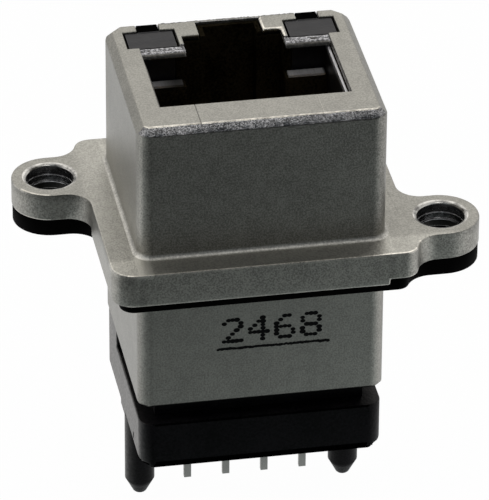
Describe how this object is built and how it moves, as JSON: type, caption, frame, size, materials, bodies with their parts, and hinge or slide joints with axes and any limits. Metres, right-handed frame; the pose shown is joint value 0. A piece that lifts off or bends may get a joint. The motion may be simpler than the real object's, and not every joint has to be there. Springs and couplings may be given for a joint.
{
  "type": "vertical shielded network jack",
  "caption": "Top-entry shielded network jack: a die-cast shell with a gasketed, two-eared panel flange, indicator windows and a plastic base with board posts and solder tails.",
  "frame": {"origin": "on the board's face (the underside of the base), under the middle of the shell", "axes": "+Z leaves the plug opening, +Y is the latch side with the indicators, +X is to the right in the picture"},
  "size_m": [0.029, 0.0178, 0.0315],
  "materials": {
    "shell_metal": "matte nickel plate on die-cast zinc, fine grain",
    "gasket_rubber": "matte",
    "insert_plastic": "matte moulded",
    "base_plastic": "matte moulded, faint sheen",
    "contact_metal": "plated, tinned at the tails",
    "led_lens": "smoked, unlit",
    "lead_metal": "tinned",
    "spring_steel": "satin sheet"
  },
  "bodies": {
    "root": {"housing": "shell_metal", "gasket": "gasket_rubber", "insert": "insert_plastic", "base": "base_plastic", "contact_1": "contact_metal", "contact_2": "contact_metal", "contact_3": "contact_metal", "contact_4": "contact_metal", "contact_5": "contact_metal", "contact_6": "contact_metal", "contact_7": "contact_metal", "contact_8": "contact_metal", "led_left": "led_lens", "led_right": "led_lens", "led_lead_1": "lead_metal", "led_lead_2": "lead_metal", "led_lead_3": "lead_metal", "led_lead_4": "lead_metal", "ground_spring_left": "spring_steel", "ground_spring_right": "spring_steel"}
  },
  "joints": []
}
